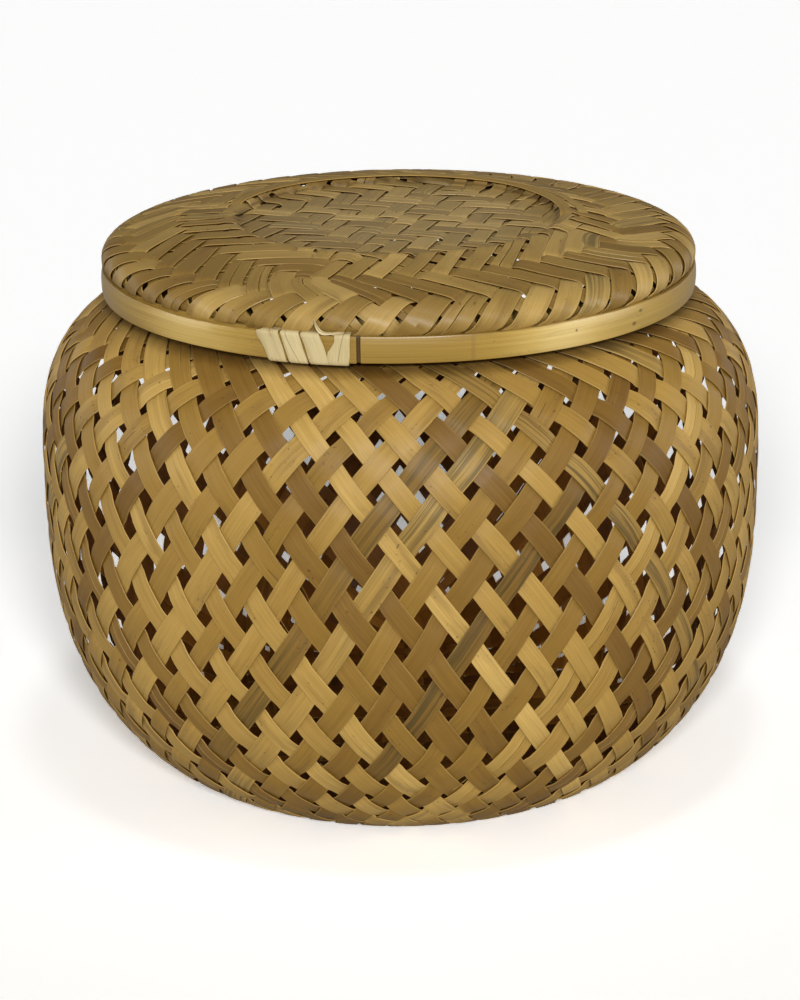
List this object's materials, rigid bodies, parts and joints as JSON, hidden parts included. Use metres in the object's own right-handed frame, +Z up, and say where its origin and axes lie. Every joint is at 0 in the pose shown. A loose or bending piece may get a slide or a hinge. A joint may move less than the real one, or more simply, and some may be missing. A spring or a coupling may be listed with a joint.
{
  "type": "lidded bamboo basket",
  "caption": "Round plaited bamboo basket with a full belly, open square weave and a loose lid held in a lashed bamboo hoop.",
  "frame": {"origin": "middle of the flat base, on the surface that the basket stands on", "axes": "+Z up through the mouth and the lid, -Y towards the front, where the lid's front lashing shows to the left"},
  "size_m": [0.26, 0.26, 0.2012],
  "materials": {
    "body_weave": "dry split bamboo, satin",
    "lid_weave": "dry split bamboo, satin",
    "hoop": "smooth bamboo skin, semi-gloss",
    "peel": "pale bamboo peel, matt"
  },
  "bodies": {
    "basket": {"body_weave": "body_weave", "mouth_inner_hoop": "hoop", "mouth_outer_hoop": "hoop", "mouth_lashing_left": "peel", "mouth_lashing_right": "peel", "mouth_lashing_back": "peel"},
    "lid": {"lid_weave": "lid_weave", "lid_inner_hoop": "hoop", "lid_outer_hoop": "hoop", "lid_under_strip": "hoop", "lid_front_lashing": "peel", "lid_back_lashing": "peel"}
  },
  "joints": [
    {"name": "lid_lift", "type": "slide", "parent": "basket", "child": "lid", "axis": [0, 0, 1], "range_m": [0, 0.12]}
  ]
}
